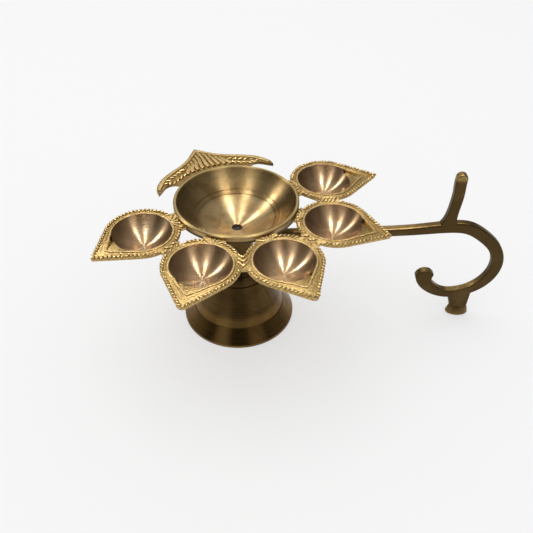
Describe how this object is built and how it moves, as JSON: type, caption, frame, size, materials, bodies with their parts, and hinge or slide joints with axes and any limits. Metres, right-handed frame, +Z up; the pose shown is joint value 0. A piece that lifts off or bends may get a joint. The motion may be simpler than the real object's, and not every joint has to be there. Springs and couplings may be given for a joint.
{
  "type": "aarti lamp",
  "caption": "Brass aarti lamp: an oil bowl ringed by pointed wick cups and a feathered crest, on a hollow bell foot, with a swivelling handle that ends in a thumb rest and finger loop.",
  "frame": {"origin": "on the axis of the stud, at the floor under the bell foot", "axes": "+Z up along the stud, +X along the handle towards its finger loop, +Y by the right hand"},
  "size_m": [0.2288, 0.1379, 0.1039],
  "materials": {
    "cast_brass": "rough cast, worn bright",
    "dark_brass": "turned or cast, tarnished",
    "stud_steel": "plain"
  },
  "bodies": {
    "foot": {"bell_foot": "dark_brass", "clamp_stud": "stud_steel", "washer": "stud_steel", "clamp_nut": "stud_steel"},
    "handle": {"handle": "dark_brass"},
    "tray": {"bowl": "cast_brass", "leaf_cup_1": "cast_brass", "leaf_cup_2": "cast_brass", "leaf_cup_3": "cast_brass", "leaf_cup_4": "cast_brass", "leaf_cup_5": "cast_brass", "crest": "cast_brass"}
  },
  "joints": [
    {"name": "handle_swivel", "type": "hinge", "parent": "foot", "child": "handle", "pos_m": [0, 0, 0.0613], "axis": [0, 0, 1], "continuous": true},
    {"name": "tray_turn", "type": "hinge", "parent": "foot", "child": "tray", "pos_m": [0, 0, 0.0642], "axis": [0, 0, 1], "continuous": true}
  ]
}
